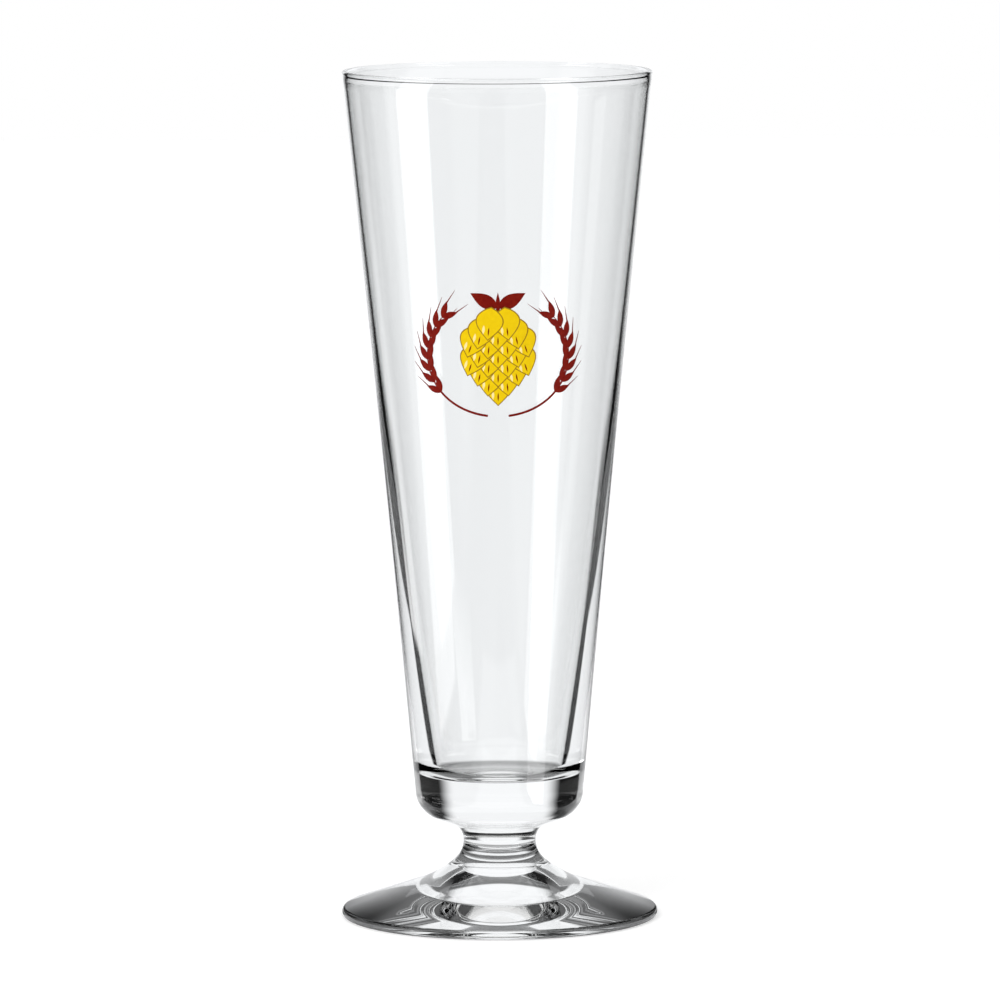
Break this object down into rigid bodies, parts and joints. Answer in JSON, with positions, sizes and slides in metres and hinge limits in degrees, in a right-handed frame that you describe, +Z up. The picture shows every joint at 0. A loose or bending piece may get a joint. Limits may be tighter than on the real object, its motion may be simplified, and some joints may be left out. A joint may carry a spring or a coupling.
{
  "type": "pilsner glass",
  "caption": "Tall footed pilsner glass: clear flared bowl fused to a short solid stem and a round hollow-ground foot, with a fired enamel hop and barley emblem.",
  "frame": {"origin": "centre of the foot's bearing ring, on the table plane", "axes": "+Z up along the glass's axis, the emblem faces -Y, +X to the viewer's right"},
  "size_m": [0.082, 0.082, 0.22],
  "materials": {
    "clear_glass": "fire-polished clear soda-lime glass",
    "enamel_ochre": "fired enamel, satin gloss",
    "enamel_yellow": "fired enamel, satin gloss",
    "enamel_cream": "fired enamel, satin gloss",
    "enamel_maroon": "fired enamel, satin gloss"
  },
  "bodies": {
    "root": {"bowl": "clear_glass", "stem": "clear_glass", "foot": "clear_glass", "print_ochre": "enamel_ochre", "print_yellow": "enamel_yellow", "print_cream": "enamel_cream", "print_maroon": "enamel_maroon"}
  },
  "joints": []
}
